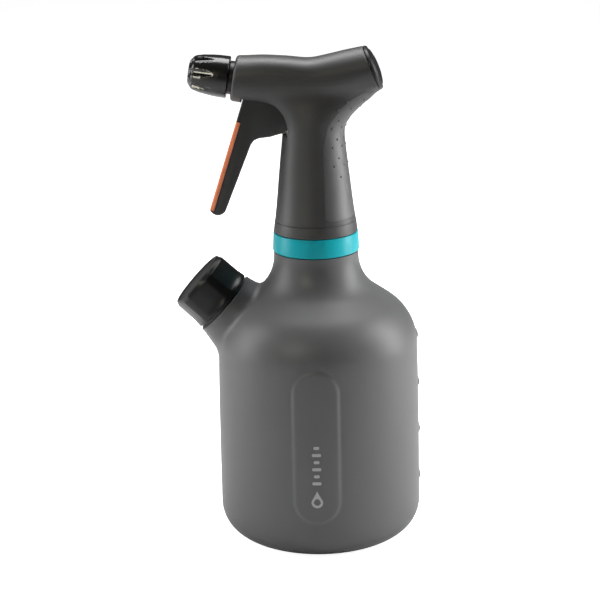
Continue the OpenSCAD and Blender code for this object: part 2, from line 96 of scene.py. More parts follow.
class NodeGroups:
    """The shader node groups that the finishes share, each built once."""

    @staticmethod
    def _new(name: str, inputs: Sequence[tuple[str, str]], outputs: Sequence[tuple[str, str]]) -> bpy.types.NodeTree:
        """Makes an empty group with its sockets.

        Args:
            name: the group's name.
            inputs: name and socket type of each input.
            outputs: name and socket type of each output.

        Returns:
            The new node tree.
        """
        tree = bpy.data.node_groups.new(name, "ShaderNodeTree")
        for label, kind in inputs:
            tree.interface.new_socket(name=label, in_out="INPUT", socket_type=kind)
        for label, kind in outputs:
            tree.interface.new_socket(name=label, in_out="OUTPUT", socket_type=kind)
        return tree

    @staticmethod
    def noise(tree: bpy.types.NodeTree, vector: bpy.types.NodeSocket, scale: float, detail: float) -> bpy.types.Node:
        """Adds a noise texture that reads a position."""
        node = tree.nodes.new("ShaderNodeTexNoise")
        node.inputs["Scale"].default_value = scale
        node.inputs["Detail"].default_value = detail
        tree.links.new(vector, node.inputs["Vector"])
        return node

    @staticmethod
    def arithmetic(tree: bpy.types.NodeTree, operation: str,
                   *values: bpy.types.NodeSocket | float) -> bpy.types.NodeSocket:
        """Adds a sum over sockets and numbers.

        Args:
            tree: where the node goes.
            operation: Blender's name for the sum.
            values: what it takes, in order.

        Returns:
            The socket with the result.
        """
        node = tree.nodes.new("ShaderNodeMath")
        node.operation = operation
        for slot, value in zip(node.inputs, values):
            if isinstance(value, float):
                slot.default_value = value
            else:
                tree.links.new(value, slot)
        return node.outputs[0]

    @classmethod
    def moulded_grain(cls) -> bpy.types.NodeTree:
        """Fine moulded texture, as a normal."""
        found = bpy.data.node_groups.get("moulded_grain")
        if found:
            return found
        tree = cls._new(
            "moulded_grain",
            [("Vector", "NodeSocketVector"), ("Scale", "NodeSocketFloat"), ("Depth", "NodeSocketFloat")],
            [("Normal", "NodeSocketVector")],
        )
        nodes, link = tree.nodes, tree.links.new
        enter, leave = nodes.new("NodeGroupInput"), nodes.new("NodeGroupOutput")
        noise = cls.noise(tree, enter.outputs["Vector"], 1.0, 3.0)
        noise.inputs["Roughness"].default_value = 0.6
        bump = nodes.new("ShaderNodeBump")
        bump.inputs["Distance"].default_value = 0.0002
        link(enter.outputs["Scale"], noise.inputs["Scale"])
        link(noise.outputs["Fac"], bump.inputs["Height"])
        link(enter.outputs["Depth"], bump.inputs["Strength"])
        link(bump.outputs["Normal"], leave.inputs["Normal"])
        return tree

    @classmethod
    def tone_drift(cls) -> bpy.types.NodeTree:
        """Slow mottling of colour and roughness, as thick moulded plastic has."""
        found = bpy.data.node_groups.get("tone_drift")
        if found:
            return found
        tree = cls._new(
            "tone_drift",
            [("Vector", "NodeSocketVector"), ("Colour", "NodeSocketColor"), ("Worn Colour", "NodeSocketColor"),
             ("Roughness", "NodeSocketFloat"), ("Spread", "NodeSocketFloat")],
            [("Colour", "NodeSocketColor"), ("Roughness", "NodeSocketFloat")],
        )
        nodes, link = tree.nodes, tree.links.new
        enter, leave = nodes.new("NodeGroupInput"), nodes.new("NodeGroupOutput")
        cloud = cls.noise(tree, enter.outputs["Vector"], 38.0, 4.0)
        scuff = cls.noise(tree, enter.outputs["Vector"], 420.0, 6.0)
        mix = nodes.new("ShaderNodeMix")
        mix.data_type = "RGBA"
        link(cloud.outputs["Fac"], mix.inputs["Factor"])
        link(enter.outputs["Colour"], mix.inputs["A"])
        link(enter.outputs["Worn Colour"], mix.inputs["B"])
        link(mix.outputs["Result"], leave.inputs["Colour"])
        both = cls.arithmetic(tree, "ADD", cloud.outputs["Fac"], scuff.outputs["Fac"])
        swing = cls.arithmetic(tree, "SUBTRACT", cls.arithmetic(tree, "MULTIPLY", both, 0.5), 0.5)
        rough = cls.arithmetic(tree, "MULTIPLY_ADD", swing, enter.outputs["Spread"], enter.outputs["Roughness"])
        link(rough, leave.inputs["Roughness"])
        return tree


@dataclass(frozen=True)
class Finish:
    """One material of the sprayer: its record slot, colours and surface."""

    name: str
    slot: str
    colour: Colour
    worn: Colour
    roughness: float
    spread: float
    grain: Grain
    specular: float = 0.5
    sheen: float = 0.0
    subsurface: float = 0.0
    metallic: float = 0.0

    def material(self) -> bpy.types.Material:
        """Builds the material, or finds it if it has been built.

        Returns:
            The Blender material.
        """
        found = bpy.data.materials.get(self.name)
        if found:
            return found
        material = bpy.data.materials.new(self.name)
        material.use_nodes = True
        nodes, link = material.node_tree.nodes, material.node_tree.links.new
        shader = nodes["Principled BSDF"]
        place = nodes.new("ShaderNodeTexCoord").outputs["Object"]
        tone, grain = nodes.new("ShaderNodeGroup"), nodes.new("ShaderNodeGroup")
        tone.node_tree, grain.node_tree = NodeGroups.tone_drift(), NodeGroups.moulded_grain()
        link(place, tone.inputs["Vector"])
        link(place, grain.inputs["Vector"])
        tone.inputs["Colour"].default_value = (*self.colour, 1.0)
        tone.inputs["Worn Colour"].default_value = (*self.worn, 1.0)
        tone.inputs["Roughness"].default_value = self.roughness
        tone.inputs["Spread"].default_value = self.spread
        grain.inputs["Scale"].default_value, grain.inputs["Depth"].default_value = self.grain.value
        link(tone.outputs["Colour"], shader.inputs["Base Color"])
        link(tone.outputs["Roughness"], shader.inputs["Roughness"])
        link(grain.outputs["Normal"], shader.inputs["Normal"])
        for label, value in (("Specular IOR Level", self.specular), ("Metallic", self.metallic),
                             ("Sheen Weight", self.sheen), ("Subsurface Weight", self.subsurface),
                             ("Subsurface Scale", SCATTER_DEPTH)):
            shader.inputs[label].default_value = value
        material.diffuse_color = (*self.colour, 1.0)
        return material


BOTTLE_GREY = Finish("bottle_grey", "bottle_plastic", (0.088, 0.090, 0.089), (0.101, 0.103, 0.102),
                     0.46, 0.10, Grain.SATIN, specular=0.45)
BODY_GREY = Finish("body_grey", "body_plastic", (0.0235, 0.0235, 0.0225), (0.0275, 0.0275, 0.0262),
                   0.5, 0.12, Grain.SPARK, specular=0.62)
SOFT_GREY = Finish("soft_grey", "soft_grip", (0.028, 0.028, 0.027), (0.033, 0.033, 0.032),
                   0.5, 0.10, Grain.SOFT, specular=0.85, sheen=0.08)
GLOSS_BLACK = Finish("gloss_black", "black_plastic", (0.008, 0.008, 0.0075), (0.0105, 0.0105, 0.010),
                     0.2, 0.06, Grain.POLISHED, specular=0.45)
TRIGGER_BLACK = Finish("trigger_black", "black_plastic", (0.013, 0.013, 0.0115), (0.016, 0.016, 0.0142),
                       0.36, 0.10, Grain.SATIN, specular=0.45)
SATIN_BLACK = Finish("satin_black", "black_plastic", (0.0075, 0.0078, 0.0078), (0.0095, 0.0098, 0.0098),
                     0.36, 0.12, Grain.SATIN, specular=0.3)
TURQUOISE = Finish("turquoise", "turquoise_plastic", (0.001, 0.37, 0.43), (0.002, 0.40, 0.46),
                   0.34, 0.10, Grain.SATIN, specular=0.25, subsurface=0.03)
ORANGE = Finish("orange", "orange_plastic", (0.92, 0.25, 0.10), (0.95, 0.28, 0.12),
                0.4, 0.10, Grain.SATIN, specular=0.45, subsurface=0.06)
MILKY = Finish("milky", "natural_plastic", (0.70, 0.69, 0.64), (0.75, 0.74, 0.69),
               0.45, 0.10, Grain.SATIN, specular=0.4, subsurface=0.15)
ACETAL = Finish("acetal", "acetal", (0.17, 0.17, 0.168), (0.19, 0.19, 0.188), 0.35, 0.08, Grain.SATIN)
SEAL = Finish("seal", "seal_rubber", (0.012, 0.012, 0.012), (0.018, 0.018, 0.018),
              0.6, 0.12, Grain.SOFT, specular=0.3)
STEEL = Finish("steel", "steel", (0.55, 0.55, 0.54), (0.62, 0.62, 0.61), 0.24, 0.12, Grain.DRAWN, metallic=1.0)
PRINT = Finish("print_grey", "natural_plastic", (0.36, 0.37, 0.37), (0.40, 0.41, 0.41),
               0.5, 0.08, Grain.SATIN, specular=0.4)

CAD_FINISHES: dict[str, Finish] = {
    "filler_gasket": MILKY, "neck_gasket": SEAL, "vent_valve": SEAL, "pump_block": MILKY,
    "riser_plug": MILKY, "inlet_bush": MILKY, "inlet_ball": STEEL, "outlet_ball": STEEL,
    "piston": MILKY, "piston_seal": SEAL, "trigger_pin": STEEL, "nozzle_oring": SEAL,
    "swirl_core": MILKY, "nozzle_insert": ACETAL, "dip_tube": MILKY, "strainer": SATIN_BLACK,
    "screw_collar": SATIN_BLACK,
}


# ------------------------------------------------------------------ shape tools


@dataclass(frozen=True)
class Axis:
    """A line in the XZ plane that turned pieces are built along, as their +Z."""

    x: float
    z: float
    tilt: float

    def matrix(self) -> Matrix:
        """The millimetre transform from the axis's own frame to the model's."""
        turn = Matrix.Rotation(math.radians(self.tilt - 90.0), 4, "Y")
        return Matrix.Translation((self.x, 0.0, self.z)) @ turn


UPRIGHT = Axis(0.0, 0.0, 90.0)
FILLER = Axis(-51.0, 131.4, 43.0)
NOZZLE = Axis(-42.2, 255.0, 9.0)
REAR = Axis(31.0, 259.2, 158.4)
THREAD_LEAD = 4.0
NECK_RIB = (0.35, 0.9, 1.3)
FILLER_RIB = (0.4, 0.95, 1.4)


def arc(x: float, y: float, r: float, start: float, end: float, steps: int = 12) -> list[Point2]:
    """Points along an arc, with angles in degrees."""
    angles = [math.radians(start + (end - start) * i / steps) for i in range(steps + 1)]
    return [(x + r * math.cos(a), y + r * math.sin(a)) for a in angles]


def rounded(points: Sequence[tuple[float, ...]], closed: bool = False, steps: int = 5) -> list[Point2]:
    """Rounds the corners of a line of points.

    Args:
        points: (x, y) or (x, y, radius) of each corner.
        closed: whether the last point joins the first.
        steps: segments in each rounded corner.

    Returns:
        The points with each corner that has a radius replaced by an arc.
    """
    out: list[Point2] = []
    count = len(points)
    for i, p in enumerate(points):
        here = Vector(p[:2])
        radius = p[2] if len(p) > 2 else 0.0
        if radius <= 0 or (not closed and i in (0, count - 1)):
            out.append((here.x, here.y))
            continue
        before = Vector(points[i - 1][:2]) - here
        after = Vector(points[(i + 1) % count][:2]) - here
        half = before.angle(after) / 2
        reach = min(radius / math.tan(half), 0.49 * before.length, 0.49 * after.length)
        size = reach * math.tan(half)
        first, last = here + before.normalized() * reach, here + after.normalized() * reach
        centre = here + (before.normalized() + after.normalized()).normalized() * (size / math.sin(half))
        for k in range(steps + 1):
            blend = (first - centre).lerp(last - centre, k / steps)
            spot = centre + blend.normalized() * size
            out.append((spot.x, spot.y))
    return out


def divided(points: Sequence[Point2], longest: float, beyond: float = 0.0) -> list[Point2]:
    """Cuts a profile's long segments into even steps.

    Args:
        points: (radius, height) of each point.
        longest: about how long a step may be.
        beyond: segments that reach within this radius stay whole.

    Returns:
        The profile with the steps' ends as points.
    """
    out: list[Point2] = []
    for a, b in zip(points, points[1:]):
        cuts = max(1, int(math.dist(a, b) / longest)) if min(a[0], b[0]) > beyond else 1
        out += [(a[0] + (b[0] - a[0]) * i / cuts, a[1] + (b[1] - a[1]) * i / cuts) for i in range(cuts)]
    return [*out, points[-1]]


def lathe(profile: Sequence[Point2], steps: int = 96, closed: bool = False) -> BMesh:
    """Spins a profile of (radius, height) about +Z.

    Args:
        profile: the points, which may start or end on the axis.
        steps: segments round the turn.
        closed: whether the profile is a loop, as a ring's section is.

    Returns:
        A bmesh of the turned shape with its normals outwards.
    """
    bm = bmesh.new()
    verts = [bm.verts.new((r, 0.0, z)) for r, z in profile]
    edges = [bm.edges.new(pair) for pair in zip(verts, verts[1:])]
    if closed:
        edges.append(bm.edges.new((verts[-1], verts[0])))
    bmesh.ops.spin(bm, geom=verts + edges, cent=(0, 0, 0), axis=(0, 0, 1), dvec=(0, 0, 0),
                   angle=2 * math.pi, steps=steps, use_merge=True, use_duplicate=False)
    bmesh.ops.remove_doubles(bm, verts=bm.verts[:], dist=1e-4)
    bmesh.ops.recalc_face_normals(bm, faces=bm.faces[:])
    return bm


def helix(section: Sequence[Point2], lead: float, turns: float, per_turn: int = 48) -> BMesh:
    """Sweeps a closed section along a helix about +Z.

    Args:
        section: (radius, height) points of the section at the helix's foot.
        lead: climb in one turn.
        turns: how many turns.
        per_turn: steps in one turn.

    Returns:
        A closed bmesh.
    """
    bm = bmesh.new()
    verts = [bm.verts.new((r, 0.0, z)) for r, z in section]
    foot = bm.faces.new(verts)
    steps = max(2, round(turns * per_turn))
    bmesh.ops.spin(bm, geom=[foot, *foot.edges, *verts], cent=(0, 0, 0), axis=(0, 0, 1),
                   dvec=(0, 0, lead * turns / steps), angle=2 * math.pi * turns, steps=steps,
                   use_merge=False, use_duplicate=False)
    bmesh.ops.holes_fill(bm, edges=[e for e in bm.edges if e.is_boundary], sides=len(section))
    bmesh.ops.recalc_face_normals(bm, faces=bm.faces[:])
    return bm


def thread(root: float, crest: float, base: float, rib: Point3, lead: float, turns: float,
           per_turn: int = 48) -> BMesh:
    """A screw thread's rib about +Z.

    Args:
        root: radius that the rib stands on.
        crest: radius of its top.
        base: height where it begins.
        rib: heights above the base of the crest's start and end, and of the root's end.
        lead: climb in one turn.
        turns: how many turns.
        per_turn: steps in one turn.

    Returns:
        A closed bmesh.
    """
    rise, fall, end = rib
    section = [(root, base), (crest, base + rise), (crest, base + fall), (root, base + end)]
    return helix(section, lead, turns, per_turn)


def verts_in(grown: dict[str, list]) -> list[BMVert]:
    """The points among what an extrusion made."""
    return [g for g in grown["geom"] if isinstance(g, BMVert)]


def slab(outline: Sequence[Point2], width: float) -> BMesh:
    """A plate of the given width, centred on Y = 0, from an outline in the XZ plane."""
    bm = bmesh.new()
    face = bm.faces.new([bm.verts.new((x, -width / 2, z)) for x, z in outline])
    grown = bmesh.ops.extrude_face_region(bm, geom=[face])
    bmesh.ops.translate(bm, vec=(0, width, 0), verts=verts_in(grown))
    bmesh.ops.recalc_face_normals(bm, faces=bm.faces[:])
    return bm


def rods(radius: float, length: float, x: float, z: float, steps: int = 40) -> BMesh:
    """A cylinder across the model, along Y, with softened rims."""
    soft = min(0.3, radius * 0.3)
    end = length / 2
    bm = lathe(rounded([(0, -end), (radius, -end, soft), (radius, end, soft), (0, end)], steps=3), steps)
    bmesh.ops.rotate(bm, verts=bm.verts[:], cent=(0, 0, 0), matrix=Matrix.Rotation(math.pi / 2, 3, "X"))
    bmesh.ops.translate(bm, vec=(x, 0, z), verts=bm.verts[:])
    return bm


def joined(*parts: BMesh) -> BMesh:
    """One bmesh that holds all the parts as separate shells."""
    out = parts[0]
    for part in parts[1:]:
        mesh = bpy.data.meshes.new("part")
        part.to_mesh(mesh)
        part.free()
        out.from_mesh(mesh)
        bpy.data.meshes.remove(mesh)
    return out


def scratch(bm: BMesh) -> bpy.types.Object:
    """Turns a millimetre bmesh into a linked object in millimetres, for modifiers."""
    mesh = bpy.data.meshes.new("scratch")
    bm.to_mesh(mesh)
    bm.free()
    obj = bpy.data.objects.new("scratch", mesh)
    bpy.context.scene.collection.objects.link(obj)
    return obj


def discard(obj: bpy.types.Object) -> None:
    """Removes a scratch object and its mesh."""
    mesh = obj.data
    bpy.data.objects.remove(obj)
    bpy.data.meshes.remove(mesh)


def modified(bm: BMesh, kind: str, **settings: object) -> BMesh:
    """Runs one modifier over a bmesh, which is used up.

    Args:
        bm: the shape, in millimetres.
        kind: Blender's name for the modifier.
        settings: the modifier's values.

    Returns:
        The result as a new bmesh.
    """
    obj = scratch(bm)
    step = obj.modifiers.new(kind.lower(), kind)
    for label, value in settings.items():
        setattr(step, label, value)
    graph = bpy.context.evaluated_depsgraph_get()
    graph.update()
    mesh = bpy.data.meshes.new_from_object(obj.evaluated_get(graph))
    out = bmesh.new()
    out.from_mesh(mesh)
    bpy.data.meshes.remove(mesh)
    discard(obj)
    return out


def remeshed(bm: BMesh, cell: float) -> BMesh:
    """Merges overlapping closed shells into one skin with an even grid of cells."""
    return modified(bm, "REMESH", mode="VOXEL", voxel_size=cell, adaptivity=0.0)


def combined(bm: BMesh, tool: BMesh, cut: Cut) -> BMesh:
    """Cuts one closed solid with another, and uses both up."""
    other = scratch(tool)
    out = modified(bm, "BOOLEAN", operation=cut.value, object=other, solver="EXACT")
    discard(other)
    return out


def thickened(bm: BMesh, wall: float) -> BMesh:
    """Gives an open skin a wall that grows inwards."""
    return modified(bm, "SOLIDIFY", thickness=wall, offset=-1.0, use_even_offset=True)


def softened(bm: BMesh, width: float, angle: float = 35.0, segments: int = 3) -> BMesh:
    """Rounds the edges that are sharper than an angle.

    Args:
        bm: the shape.
        width: width of the rounding.
        angle: degrees between two faces above which their edge is rounded.
        segments: faces across the rounding.

    Returns:
        The same bmesh.
    """
    bmesh.ops.dissolve_degenerate(bm, dist=1e-4, edges=bm.edges[:])
    bm.normal_update()
    sharp = [e for e in bm.edges if len(e.link_faces) == 2 and e.calc_face_angle(0.0) > math.radians(angle)]
    bmesh.ops.bevel(bm, geom=sharp, offset=width, offset_type="OFFSET", affect="EDGES", segments=segments,
                    profile=0.5, material=-1, clamp_overlap=True)
    return bm


def opened(bm: BMesh, point: Vector, normal: Vector, near: float) -> list[BMEdge]:
    """Cuts off what lies past a plane, close to a point.

    Args:
        bm: the skin.
        point: a point on the plane.
        normal: the side that is cut off.
        near: only geometry this close to the point is touched.

    Returns:
        The edges of the new opening.
    """
    geom = [f for f in bm.faces if (f.calc_center_median() - point).length < near]
    geom += list({e for f in geom for e in f.edges}) + list({v for f in geom for v in f.verts})
    bmesh.ops.bisect_plane(bm, geom=geom, dist=1e-5, plane_co=point, plane_no=normal,
                           clear_outer=True, clear_inner=False)
    bmesh.ops.delete(bm, geom=[v for v in bm.verts if not v.link_faces], context="VERTS")
    return [e for e in bm.edges if e.is_boundary
            and all(abs((v.co - point).dot(normal)) < 1e-3 and (v.co - point).length < near for v in e.verts)]


def extruded_rim(bm: BMesh, rim: list[BMEdge], base: Vector, out: Vector,
                 scale: float, climb: float) -> list[BMEdge]:
    """Grows a ring of faces from a round opening's edge.

    Args:
        bm: the skin.
        rim: the opening's edges.
        base: a point on the opening's axis.
        out: the axis.
        scale: how much wider the new edge is than the old.
        climb: how far it lies further out.

    Returns:
        The new opening's edges.
    """
    grown = bmesh.ops.extrude_edge_only(bm, edges=rim)
    for v in verts_in(grown):
        along = (v.co - base).dot(out)
        radial = v.co - base - out * along
        v.co = base + radial * scale + out * (along + climb)
    return [e for e in grown["geom"] if isinstance(e, BMEdge) and e.is_boundary]


def piece(name: str, bm: BMesh, finish: Finish, body: str, replaces: Sequence[str] = (),
          axis: Axis = UPRIGHT, crease: float = 32.0) -> bpy.types.Object:
    """Makes the finished object of a millimetre bmesh and hangs it on its body.

    Args:
        name: the piece's name.
        bm: its shape in its axis's frame; it is used up.
        finish: its material.
        body: the CAD body that it rides on.
        replaces: CAD nodes that it stands for.
        axis: where its own +Z lies.
        crease: degrees above which an edge is shaded sharp.

    Returns:
        The object.
    """
    bm.transform(Matrix.Scale(MM, 4) @ axis.matrix())
    mesh = bpy.data.meshes.new(name)
    bm.to_mesh(mesh)
    bm.free()
    mesh.polygons.foreach_set("use_smooth", [True] * len(mesh.polygons))
    mesh.set_sharp_from_angle(angle=math.radians(crease))
    mesh.materials.append(finish.material())
    obj = bpy.data.objects.new(name, mesh)
    bpy.context.scene.collection.objects.link(obj)
    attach(obj, body)
    if replaces:
        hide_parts(*replaces)
    LOG.info("%s: %d faces on %s", name, len(mesh.polygons), body)
    return obj


def outline_distance(points: np.ndarray, outline: np.ndarray) -> np.ndarray:
    """Signed distance of 2-D points from a closed outline, negative inside.

    Args:
        points: n by 2.
        outline: m by 2, in order.

    Returns:
        n distances.
    """
    best = np.full(len(points), 1e9)
    inside = np.zeros(len(points), bool)
    for a, b in zip(outline, np.roll(outline, -1, axis=0)):
        edge, away = b - a, points - a
        t = np.clip(away @ edge / max(float(edge @ edge), 1e-12), 0.0, 1.0)
        best = np.minimum(best, np.linalg.norm(away - t[:, None] * edge, axis=1))
        crosses = (a[1] > points[:, 1]) != (b[1] > points[:, 1])
        with np.errstate(divide="ignore", invalid="ignore"):
            at = edge[0] * away[:, 1] / edge[1] + a[0]
        inside ^= crosses & (points[:, 0] < at)
    return np.where(inside, -best, best)


def smooth_step(low: float, high: float, value: np.ndarray) -> np.ndarray:
    """0 below low, 1 above high, and a smooth rise between."""
    t = np.clip((value - low) / (high - low), 0.0, 1.0)
    return t * t * (3 - 2 * t)


def spline(rows: np.ndarray, u: float) -> np.ndarray:
    """A smooth curve through the rows, at row number u."""
    k = min(int(u), len(rows) - 2)
    t = u - k
    a, b, c, d = (rows[min(max(j, 0), len(rows) - 1)] for j in (k - 1, k, k + 1, k + 2))
    return 0.5 * (2 * b + (c - a) * t + (2 * a - 5 * b + 4 * c - d) * t * t + (3 * b - a - 3 * c + d) * t ** 3)


# ----------------------------------------------------------------------- bottle


@dataclass
class Bottle:
    """The blow-moulded bottle with its slanted filler, label panels and level marks."""

    body_r: float = 55.5
    narrow: float = 0.9
    waist_z: float = 78.0
    foot_r: float = 16.8
    shoulder_z: float = 108.0
    shoulder_r: float = 30.0
    shoulder_turn: float = 55.0
    neck_arc_r: float = 24.0
    neck_arc_z: float = 158.3
    neck_r: float = 23.0
    ledge_z: float = 160.8
    finish_r: float = 18.6
    finish_z: float = 174.0
    wall: float = 1.8
    filler_r: float = 19.0
    filler_flare: float = 24.0
    filler_root: float = 22.0
    filler_finish_r: float = 15.2
    filler_finish_h: float = 15.5
    fillet: float = 2.4
    boss_drop: float = 0.8
    panel_w: float = 26.0
    panel_z: Point2 = (23.0, 109.0)
    panel_proud: float = 0.8
    mark_z: float = 29.7
    mark_pitch: float = 27.4
    marks: int = 4
    mark_proud: float = 0.8
    mark_half: float = 1.6
    mark_span: Point2 = (-2.0, 20.0)
    cell: float = 1.4

    def outline(self, top: float) -> list[Point2]:
        """Radius and height of the outside, from the foot's centre to the neck's top."""
        top_r, turn = self.body_r - self.narrow, self.shoulder_turn
        return [
            (0, 4), (21, 4), (23, 3.6), (26.2, 0.5), (28, 0),
            *arc(self.body_r - self.foot_r, self.foot_r, self.foot_r, -90, 0),
            *self.barrel(),
            *arc(top_r - self.shoulder_r, self.shoulder_z, self.shoulder_r, 0, turn),
            *arc(self.neck_r + self.neck_arc_r, self.neck_arc_z, self.neck_arc_r, 180 + turn, 180),
            (self.neck_r, top), (0, top),
        ]

    def barrel(self) -> list[Point2]:
        """The gently narrowing wall between the foot and the shoulder."""
        span = self.shoulder_z - self.foot_r
        return [(self.body_r - self.narrow * (t ** 2.2), self.foot_r + span * t) for t in np.linspace(0.1, 0.9, 9)]

    def radius(self, z: float) -> float:
        """Outside radius of the straight wall at a height."""
        t = min(max((z - self.foot_r) / (self.shoulder_z - self.foot_r), 0.0), 1.0)
        return self.body_r - self.narrow * t ** 2.2

    def raised(self, p: np.ndarray) -> np.ndarray:
        """How far the label panels and level marks stand out at each point."""
        half = self.panel_w / 2
        dz = np.maximum(self.panel_z[0] + half - p[:, 2], p[:, 2] - (self.panel_z[1] - half))
        edge = np.hypot(p[:, 0], np.maximum(dz, 0.0)) - half
        out = self.panel_proud * (1 - smooth_step(-1.9, 0.2, edge)) * (np.abs(p[:, 1]) > 20)
        angle = np.degrees(np.arctan2(p[:, 1], p[:, 0]))
        low, high = self.mark_span
        ends = smooth_step(low, low + 1.6, angle) * (1 - smooth_step(high - 1.6, high, angle))
        for i in range(self.marks):
            off = np.clip(np.abs(p[:, 2] - self.mark_z - i * self.mark_pitch) / self.mark_half, 0, 1)
            out = out + self.mark_proud * np.sqrt(1 - off ** 2) * ends * (np.hypot(p[:, 0], p[:, 1]) > 40)
        return out

    def field(self, p: np.ndarray) -> np.ndarray:
        """Signed distance from the blended outside of bottle and filler."""
        outline = np.array(self.outline(self.ledge_z + 12))
        body = outline_distance(np.c_[np.hypot(p[:, 0], p[:, 1]), p[:, 2]], outline) - self.raised(p)
        back = np.array(FILLER.matrix().inverted())
        local = p @ back[:3, :3].T + back[:3, 3]
        cone = np.array([(0, -self.filler_root - 6), (self.filler_flare + 1.4, -self.filler_root - 6),
                         (self.filler_flare, -self.filler_root), (self.filler_r + 1.2, -7.0),
                         (self.filler_r, -2.0), (self.filler_r, 12), (0, 12)])
        spout = outline_distance(np.c_[np.hypot(local[:, 0], local[:, 1]), local[:, 2]], cone)
        h = np.clip(0.5 + 0.5 * (spout - body) / self.fillet, 0, 1)
        return spout * (1 - h) + body * h - self.fillet * h * (1 - h)

    def skin(self) -> BMesh:
        """The outside as one even grid, drawn onto the exact form."""
        body = lathe(self.outline(self.ledge_z + 8), 120)
        spout = lathe([(0, -self.filler_root), (self.filler_flare, -self.filler_root),
                       (self.filler_r, 0), (self.filler_r, 8), (0, 8)], 80)
        spout.transform(FILLER.matrix())
        bm = remeshed(joined(body, spout), self.cell)
        self.drawn(bm.verts[:])
        busy = [e for e in bm.edges if self.is_busy((e.verts[0].co + e.verts[1].co) / 2)]
        bmesh.ops.subdivide_edges(bm, edges=busy, cuts=1, use_grid_fill=True)
        self.drawn(bm.verts[:])
        return bm

    def is_busy(self, p: Vector) -> bool:
        """Whether a point lies on a panel's edge or a level mark."""
        half = self.panel_w / 2
        dz = max(self.panel_z[0] + half - p.z, p.z - (self.panel_z[1] - half), 0.0)
        if abs(math.hypot(p.x, dz) - half + 0.8) < 2.4 and abs(p.y) > 20 and p.z < 112:
            return True
        angle = math.degrees(math.atan2(p.y, p.x))
        near = abs((p.z - self.mark_z + self.mark_pitch / 2) % self.mark_pitch - self.mark_pitch / 2)
        return self.mark_span[0] - 2 < angle < self.mark_span[1] + 2 and near < 3.2 and 20 < p.z < 118

    def drawn(self, verts: list[BMVert], rounds: int = 3) -> None:
        """Moves points onto the exact form along its slope, in a few rounds."""
        p = np.array([v.co[:] for v in verts])
        step = 0.02
        for _ in range(rounds):
            d = self.field(p)
            slope = np.stack([(self.field(p + step * axis) - self.field(p - step * axis)) / (2 * step)
                              for axis in np.eye(3)], axis=1)
            size = np.maximum((slope ** 2).sum(1, keepdims=True), 0.25)
            p = p - np.clip(d, -3, 3)[:, None] * slope / size
        for v, q in zip(verts, p):
            v.co = q

    def build(self) -> None:
        """Builds the bottle and its printed emblem."""
        bm = self.skin()
        place, up = FILLER.matrix(), Vector((0, 0, 1))
        out = (place.to_3x3() @ up).normalized()
        lip, rise = 0.5, 0.12
        neck = ((0.985, rise), (self.finish_r / self.neck_r / 0.985, 0.0),
                (1.0, self.finish_z - lip - self.ledge_z - rise), (0.97, lip))
        spout = ((0.985, 0.22), (0.97, 0.08), (self.filler_finish_r / self.filler_r / 0.985 / 0.97, 0.0),
                 (1.0, self.filler_finish_h + self.boss_drop - 0.8), (0.97, lip))
        for base, axis, near, steps in ((Vector((0, 0, self.ledge_z)), up, 60.0, neck),
                                        (place.translation - out * self.boss_drop, out, 26.0, spout)):
            rim = opened(bm, base, axis, near)
            for scale, climb in steps:
                rim = extruded_rim(bm, rim, base, axis, scale, climb)
        bmesh.ops.recalc_face_normals(bm, faces=bm.faces[:])
        bm = thickened(bm, self.wall)
        r = self.finish_r
        neck_thread = thread(r - 0.3, r + 0.9, 163.2, NECK_RIB, THREAD_LEAD, 2.0)
        r = self.filler_finish_r
        cap_thread = thread(r - 0.3, r + 0.95, 3.4, FILLER_RIB, THREAD_LEAD, 2.2)
        cap_thread.transform(place)
        piece("bottle_moulding", joined(bm, neck_thread, cap_thread), BOTTLE_GREY, "bottle", ["bottle"], crease=48)
        self.emblem()

    def emblem(self) -> None:
        """Prints a drop and a column of level bars on the front panel."""
        drop = [*arc(0, 36.0, 3.1, -200, 20, 26), (0.9, 40.6), (0, 42.6), (-0.9, 40.6)]
        shapes = [drop]
        for i in range(6):
            low, half = 46.0 + i * 4.0, 1.5 if i % 2 else 2.4
            high = low + 1.7
            bar = [(-half, low, 0.6), (half, low, 0.6), (half, high, 0.6), (-half, high, 0.6)]
            shapes.append(rounded(bar, closed=True, steps=4))
        bm = bmesh.new()
        for shape in shapes:
            bm.faces.new([bm.verts.new((x, 0, z)) for x, z in shape])
        bmesh.ops.recalc_face_normals(bm, faces=bm.faces[:])
        grown = bmesh.ops.extrude_face_region(bm, geom=bm.faces[:])
        outer = set(verts_in(grown))
        for v in bm.verts:
            r = self.radius(v.co.z) + self.panel_proud + (0.05 if v in outer else -0.15)
            v.co.y = -math.sqrt(r * r - v.co.x ** 2)
        bmesh.ops.triangulate(bm, faces=bm.faces[:])
        bmesh.ops.recalc_face_normals(bm, faces=bm.faces[:])
        piece("panel_print", bm, PRINT, "bottle", crease=60)


